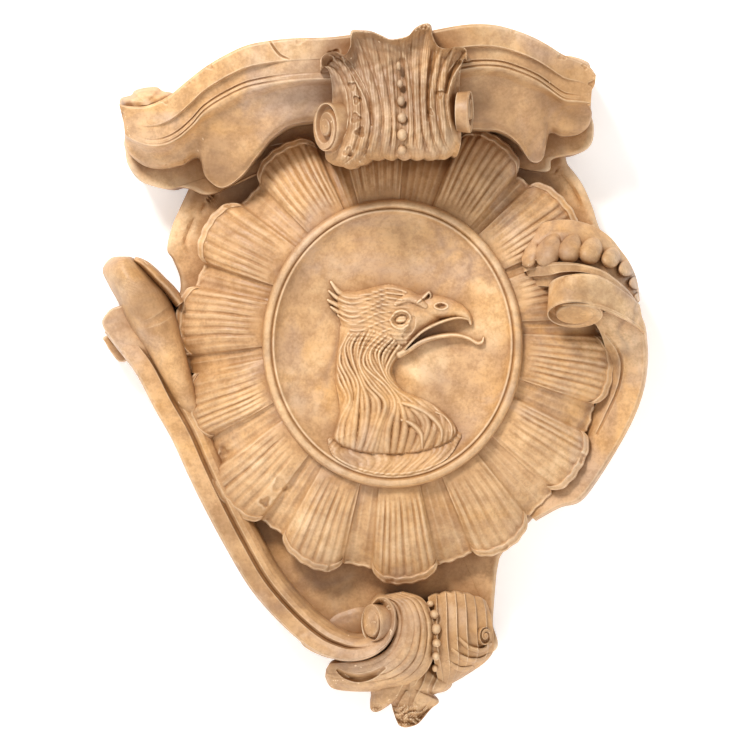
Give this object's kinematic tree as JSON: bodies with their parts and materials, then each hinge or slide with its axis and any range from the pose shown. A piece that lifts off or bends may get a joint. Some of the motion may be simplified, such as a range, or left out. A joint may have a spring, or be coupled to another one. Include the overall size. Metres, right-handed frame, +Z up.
{
  "type": "rococo cartouche",
  "caption": "Carved marble wall cartouche: oval medallion with an eagle's head, fluted shell collar, serpentine crest, scrolls and acanthus leaves, flat back to bed on a wall.",
  "frame": {"origin": "on the flat back face, behind the middle of the oval medallion", "axes": "+Z up, +X to the viewer's right, the carved front looks along -Y and the back lies in the plane Y = 0"},
  "size_m": [0.4477, 0.1605, 0.5754],
  "materials": {
    "marble": "warm honey-brown veined marble, hand carved and worn to a soft sheen, dark in the recesses"
  },
  "bodies": {
    "root": {"cartouche": "marble"}
  },
  "joints": []
}
